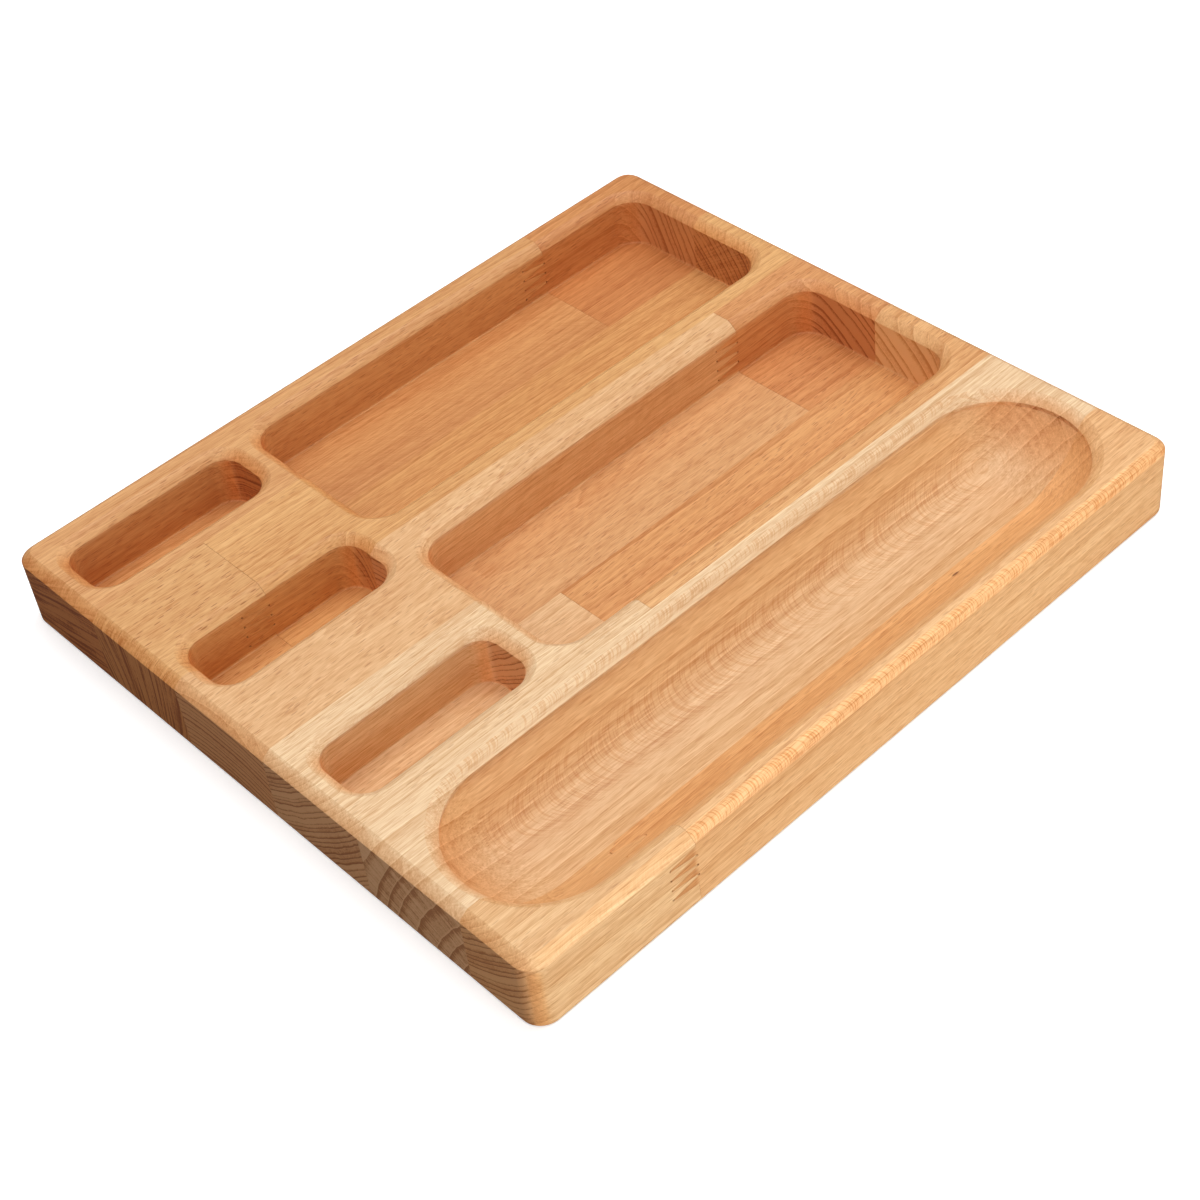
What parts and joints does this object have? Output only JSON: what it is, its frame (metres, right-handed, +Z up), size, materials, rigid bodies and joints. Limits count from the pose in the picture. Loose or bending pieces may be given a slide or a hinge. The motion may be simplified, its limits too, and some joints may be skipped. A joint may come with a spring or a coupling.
{
  "type": "wooden tray",
  "caption": "Flat desk tray milled from a glued-up beech panel, with long pockets, short slots and a dished trough for sorting small things.",
  "frame": {"origin": "middle of the underside, on the surface that the tray stands on", "axes": "+X to the right across the staves towards the trough, +Y along the grain to the back, +Z up"},
  "size_m": [0.25, 0.28, 0.028],
  "materials": {
    "straw_beech": "oiled, satin",
    "honey_beech": "oiled, satin",
    "amber_beech": "oiled, satin",
    "rose_beech": "oiled, satin"
  },
  "bodies": {
    "root": {"stave_1_front": "honey_beech", "stave_1_rear": "rose_beech", "stave_2_front": "honey_beech", "stave_2_rear": "amber_beech", "stave_3_front": "straw_beech", "stave_3_rear": "amber_beech", "stave_4_front": "straw_beech", "stave_4_rear": "honey_beech", "stave_5": "honey_beech", "stave_6_front": "straw_beech", "stave_6_rear": "amber_beech"}
  },
  "joints": []
}
